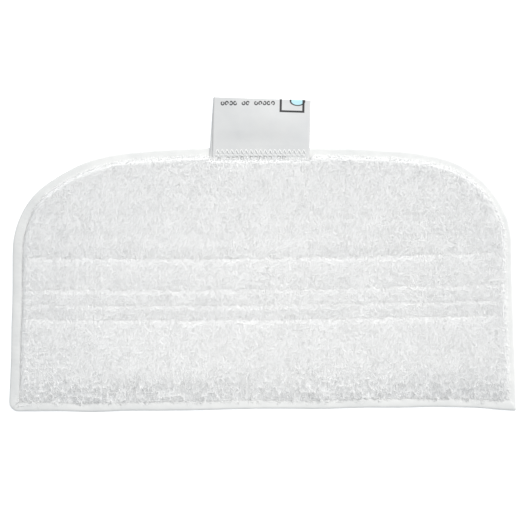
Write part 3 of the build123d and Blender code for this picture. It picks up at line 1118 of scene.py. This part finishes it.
def ribbon_surface(across, along):
    """The ribbon's middle surface. across runs 0 to 1 from the left selvedge to the right; along
    runs -1 at the under ply's cut end, 0 at the fold and 1 at the upper ply's cut end.
    Each ply runs straight between its cut end and the skewed fold line, drooping to the floor
    beyond the hinge, and near the fold the two plies are joined by half a circle."""
    across, along = np.meshgrid(across, along, indexing="ij")
    upper = along > 0
    back = abs(along)
    tip_x = TIP_SPAN[0] + across * (TIP_SPAN[1] - TIP_SPAN[0])
    tip_y = TIP_LEFT_Y + across * (TIP_RIGHT_Y - TIP_LEFT_Y)
    upper_x = UPPER_ROOT[0] + across * (UPPER_ROOT[1] - UPPER_ROOT[0])
    under_x = UNDER_ROOT[0] + across * (UNDER_ROOT[1] - UNDER_ROOT[0])
    ragged = CUT_RAGGED * patchy(across * 0.06, upper * 1.0, 3 * MM, 91)
    cut_y = CUT_END_Y + np.where(upper, 0.0, UNDER_CUT_BACK) + ragged
    flat_y = tip_y - FOLD_RADIUS
    length = flat_y - cut_y
    turn = np.clip(along / FOLD_SHARE, -1, 1) * np.pi / 2
    way = np.clip((back - FOLD_SHARE) / (1 - FOLD_SHARE), 0, 1)
    y = np.where(way > 0, flat_y - way * length, flat_y + FOLD_RADIUS * np.cos(turn))
    x = tip_x + (np.where(upper, upper_x, under_x) - tip_x) * way
    hinge_y, hinge_z = HINGE[1], (ROOT_LOW.z + ROOT_HIGH.z) / 2
    out = np.clip((y - hinge_y) / (tip_y - hinge_y), 0, 1)
    low_z = FOLD_RADIUS + RIBBON_THICKNESS
    line_z = hinge_z + (low_z - hinge_z) * (0.25 * out + 0.75 * out**1.5)
    open_plies = np.sin(out * np.pi) ** 0.7 * (0.35 + 0.2 * patchy(x, y, 30 * MM, 92)) * MM
    open_plies = open_plies * (0.1 + 0.9 * ease(across / 0.25))
    pressed = 0.16 * MM
    closed = 0.5 + 3.5 * (1 - ease(across / 0.3))
    apart = np.where(out > 0, np.maximum(pressed, out**closed * FOLD_RADIUS) + open_plies * 0.5, pressed)
    z = line_z + apart * np.sin(turn)
    wave = 0.35 * MM * patchy(x, y, 18 * MM, 93)
    wave = wave + 1.3 * MM * np.sin(across * np.pi) * np.sin(out * np.pi)
    z = z + wave * ease(out * 3) * (1 - out**4)
    z = np.maximum(z, RIBBON_THICKNESS * np.where(upper, 2.2, 0.6))
    return np.stack([x, y, z], -1)


# %% [markdown]
# ### Satin with a small print
#
# The maker's words and mark are left out. In their place is a plain print of the same size: rows of
# small open rings, which say nothing, and a box with the round end of a water drop, cut by the
# fold. The print is worked out from the ribbon's own flat coordinates, in millimetres from the fold
# and from the left selvedge, so it bends with the ribbon.

# %% Satin ribbon
INK = (0.012, 0.012, 0.014)
PALE_BLUE = (0.48, 0.77, 0.86)


def within(tree, value, low, high, soft=0.12):
    """A mask that is 1 where a value lies between two limits, with soft edges, in millimetres."""
    rising = maths(tree, "SUBTRACT", value, low)
    falling = maths(tree, "SUBTRACT", high, value)
    both = maths(tree, "MINIMUM", rising, falling)
    node = tree.nodes.new("ShaderNodeMapRange")
    node.inputs["From Min"].default_value = -soft
    node.inputs["From Max"].default_value = soft
    tree.links.new(both, node.inputs["Value"])
    return node.outputs["Result"]


def drop_distance(tree, x, y, centre, radii):
    """Below 0 inside the round end of a water drop, which is an ellipse: the distance from its
    centre with each direction counted in radii, less 1, in millimetres again."""
    across = maths(tree, "MULTIPLY", maths(tree, "SUBTRACT", x, centre[0]), 1 / radii[0])
    down = maths(tree, "MULTIPLY", maths(tree, "SUBTRACT", y, centre[1]), 1 / radii[1])
    squares = maths(tree, "MULTIPLY_ADD", across, across, maths(tree, "MULTIPLY", down, down))
    return maths(tree, "MULTIPLY", maths(tree, "SUBTRACT", maths(tree, "SQRT", squares), 1.0), radii[1])


def ring_row(tree, x, y, middle, pitch, spans):
    """A row of pen-drawn rings, each open on its own side, only within the spans.
    Each ring has a cell of that pitch. The opening faces the angle 2.4 times the cell's number."""
    cell = maths(tree, "FLOOR", maths(tree, "MULTIPLY", x, 1 / pitch))
    across = maths(tree, "SUBTRACT", x, maths(tree, "MULTIPLY_ADD", cell, pitch, pitch / 2))
    down = maths(tree, "SUBTRACT", y, middle)
    wide, tall = maths(tree, "MULTIPLY", across, 1.12), maths(tree, "MULTIPLY", down, 0.92)
    squares = maths(tree, "MULTIPLY_ADD", wide, wide, maths(tree, "MULTIPLY", tall, tall))
    ring = within(tree, maths(tree, "SQRT", squares), 0.64, 1.38, 0.15)
    angle = maths(tree, "MULTIPLY", cell, 2.4)
    facing = maths(tree, "MULTIPLY", wide, maths(tree, "COSINE", angle))
    facing = maths(tree, "MULTIPLY_ADD", tall, maths(tree, "SINE", angle), facing)
    ring = maths(tree, "MULTIPLY", ring, within(tree, facing, -9.0, 0.85, 0.15))
    shown = None
    for start, end in spans:
        span = within(tree, x, start * pitch, end * pitch)
        shown = span if shown is None else maths(tree, "MAXIMUM", shown, span)
    return maths(tree, "MULTIPLY", ring, shown)


def box_line(tree, x, y, across, down, half):
    """The outline of a box that runs over the fold. Along each axis the distance past its side is
    |value - middle| - half the span, and the greater of the two is the distance past the box."""
    past = []
    for value, (low, high) in ((x, across), (y, down)):
        off = maths(tree, "ABSOLUTE", maths(tree, "SUBTRACT", value, (low + high) / 2))
        past.append(maths(tree, "SUBTRACT", off, (high - low) / 2))
    return within(tree, maths(tree, "MAXIMUM", *past), -half, half)


def satin_ribbon():
    material, tree, shader, coords = cloth_material("satin_ribbon", 0.42, 0.15)
    shader.inputs["Specular IOR Level"].default_value = 0.4
    parts = tree.nodes.new("ShaderNodeSeparateXYZ")
    tree.links.new(coords.outputs["UV"], parts.inputs[0])
    x = maths(tree, "MULTIPLY", parts.outputs[0], 1000.0)
    y = maths(tree, "MULTIPLY", parts.outputs[1], 1000.0)
    patches = place_group(tree, MOTTLE, Vector=coords.outputs["Object"], Scale=30.0)
    cloth = ramp_colours(tree, patches, (0.62, 0.63, 0.64), (0.67, 0.675, 0.675), None)
    level = maths(tree, "MULTIPLY_ADD", x, 0.032, y)
    words = ring_row(tree, maths(tree, "ADD", x, 0.7), level, 4.5, 2.62, [(2, 6), (7, 9), (10, 15)])
    faint = ring_row(tree, x, level, 39.7, 2.9, [(1, 2), (3, 7), (8, 13), (14, 16)])
    faint = maths(tree, "MULTIPLY", faint, 0.4)
    frame_line = box_line(tree, x, y, (42.2, 56.4), (-5.5, 8.6), 0.68)
    drop = drop_distance(tree, x, y, (52.6, 1.4), (4.0, 2.7))
    outline = maths(tree, "MAXIMUM", within(tree, drop, -0.1, 0.6), frame_line)
    fill = within(tree, drop, -99.0, 0.0)
    ink = maths(tree, "MAXIMUM", words, maths(tree, "MAXIMUM", outline, faint))
    tinted = tree.nodes.new("ShaderNodeMix")
    tinted.data_type = "RGBA"
    tree.links.new(fill, tinted.inputs[0])
    tree.links.new(cloth, tinted.inputs[6])
    tinted.inputs[7].default_value = (*PALE_BLUE, 1)
    printed = tree.nodes.new("ShaderNodeMix")
    printed.data_type = "RGBA"
    tree.links.new(ink, printed.inputs[0])
    tree.links.new(tinted.outputs[2], printed.inputs[6])
    printed.inputs[7].default_value = (*INK, 1)
    tree.links.new(printed.outputs[2], shader.inputs["Base Color"])
    weave = place_group(tree, WEAVE, Vector=coords.outputs["UV"], Yarns=3000.0)
    raise_bump(tree, weave, 0.2, 0.03 * MM, shader)
    return material


RIBBON = satin_ribbon()

# %% Ribbon
def pull_ribbon():
    across = np.linspace(0, 1, RIBBON_COLUMNS)
    fold = np.linspace(-FOLD_SHARE, FOLD_SHARE, 11)
    ply = np.linspace(FOLD_SHARE, 1, 64)[1:]
    along = np.concatenate([-ply[::-1], fold, ply])
    grid = ribbon_surface(across, along)
    width = UPPER_ROOT[1] - UPPER_ROOT[0]
    step = np.linalg.norm(np.diff(grid[RIBBON_COLUMNS // 2], axis=0), axis=1)
    run = np.concatenate([[0], np.cumsum(step)])
    run -= run[len(along) // 2]
    print("ribbon cut in mm:", round(width / MM, 1), "by", round(step.sum() / MM, 1))
    flat = np.stack(np.broadcast_arrays(across[:, None] * width, run[None]), -1)
    return strip_piece("pull_ribbon", grid, RIBBON_THICKNESS, flat, RIBBON), (width, step.sum())


ribbon, ribbon_cut = pull_ribbon()
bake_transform(ribbon)
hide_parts("pull_tab", "pull_tab_root")

# %% [markdown]
# ### Sewing the tab down
#
# A straight row and a zigzag row hold the ribbon's ends. The zigzag's threads are its own stitches:
# each runs from one side of the seam to the other.

# %% Tab seams
TAB_SEAM_Y = 77.8 * MM
ZIGZAG_Y = 80.1 * MM
ZIGZAG_SWING = 1.5 * MM
TAB_THREAD_RADIUS = 0.28 * MM


def tab_seams(name, node, side, height):
    left, right = ROOT_LOW.x + 2 * MM, ROOT_HIGH.x - 2 * MM
    straight = np.arange(left, right - STITCH_PITCH, STITCH_PITCH)
    level = np.full_like(straight, height)
    start = np.column_stack([straight, np.full_like(straight, TAB_SEAM_Y), level])
    end = start + (2 * STITCH_HALF * STITCH_PITCH, 0, 0)
    corner = np.arange(left, right, STITCH_PITCH / 2)
    swing = np.where(np.arange(len(corner)) % 2, ZIGZAG_SWING, -ZIGZAG_SWING)
    zigzag = np.column_stack([corner, ZIGZAG_Y + swing, np.full_like(corner, height)])
    start = np.concatenate([start, zigzag[:-1]])
    end = np.concatenate([end, zigzag[1:]])
    return stitch_row(name, start, end, side, TAB_THREAD_RADIUS, node)


tab_seams("tab_needle_stitches", "tab_needle_thread", UP, ROOT_HIGH.z + 0.14 * MM)
tab_seams("tab_bobbin_stitches", "tab_bobbin_thread", DOWN, BOBBIN_HEIGHT)

# %% [markdown]
# ## The studio
#
# The pad lies on a bright white table under a large soft lamp behind and to the right of it. A faint
# pool of light falls on its middle, and the rest comes from all round, as in a tent. The table
# glows a little, like a light table, so that it stays white under the pad's edge.

# %% Floor, lamps and camera
def light_table():
    material = bpy.data.materials.new("white_table")
    material.use_nodes = True
    shader = material.node_tree.nodes["Principled BSDF"]
    shader.inputs["Base Color"].default_value = (0.92, 0.93, 0.94, 1)
    shader.inputs["Roughness"].default_value = 0.8
    shader.inputs["Emission Color"].default_value = (1, 1, 1, 1)
    shader.inputs["Emission Strength"].default_value = 0.45
    half = 6.0
    points = np.array([(-half, -half, 0), (half, -half, 0), (half, half, 0), (-half, half, 0)])
    points[:, 2] = -0.15 * MM
    table = make_piece("table", points, np.array([[0, 1, 2, 3]]), material)
    table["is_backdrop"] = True


def soft_sun(name, azimuth, elevation, spread, power, colour):
    """Even light from one part of the tent: a sun lamp whose disc is spread degrees across.
    azimuth is counted from the right, towards the back."""
    data = bpy.data.lights.new(name, "SUN")
    data.angle, data.energy, data.color = math.radians(spread), power, colour
    lamp = bpy.data.objects.new(name, data)
    bpy.context.scene.collection.objects.link(lamp)
    lamp.rotation_euler = (0, math.radians(90 - elevation), math.radians(azimuth))


def pool(name, place, cone, power, colour):
    """A soft round pool of light from straight above, brightest in its middle."""
    data = bpy.data.lights.new(name, "SPOT")
    data.energy, data.color, data.shadow_soft_size = power, colour, 0.08
    data.spot_size, data.spot_blend = math.radians(cone), 1.0
    lamp = bpy.data.objects.new(name, data)
    bpy.context.scene.collection.objects.link(lamp)
    lamp.location = place
    lamp.visible_camera = False


def tent(colour, strength):
    """Even light from all round."""
    world = bpy.data.worlds.new("tent")
    bpy.context.scene.world = world
    world.use_nodes = True
    background = world.node_tree.nodes["Background"]
    background.inputs["Color"].default_value = (*colour, 1)
    background.inputs["Strength"].default_value = strength


def overhead_camera():
    """A long lens, almost straight above, a little towards the front."""
    aim = np.array([1.9, 8.9, 5.0]) * MM
    seen_width, lens, sensor = 329.9 * MM, 100.0, 36.0
    distance = seen_width / 2 / (sensor / 2 / lens)
    elevation = math.radians(86)
    back = np.array([0, -math.cos(elevation), math.sin(elevation)])
    data = bpy.data.cameras.new("overhead")
    data.lens, data.sensor_width = lens, sensor
    camera = bpy.data.objects.new("overhead", data)
    bpy.context.scene.collection.objects.link(camera)
    camera.location = aim + back * distance
    camera.rotation_euler = (math.pi / 2 - elevation, 0, 0)
    bpy.context.scene.camera = camera


light_table()
soft_sun("key", 52, 42, 40, 2.35, (1.0, 0.98, 0.95))
pool("middle", (0.025, -0.03, 0.9), 26, 3.6, (1.0, 0.96, 0.90))
tent((0.94, 0.972, 1.0), 0.58)
overhead_camera()
bpy.context.scene.view_settings.view_transform = "Standard"
bpy.context.scene.cycles.max_bounces = 24
bpy.context.scene.cycles.diffuse_bounces = 16

# %% Finish
low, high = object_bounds()
print("visual box in mm:", [round((b - a) / MM, 1) for a, b in zip(low, high)])
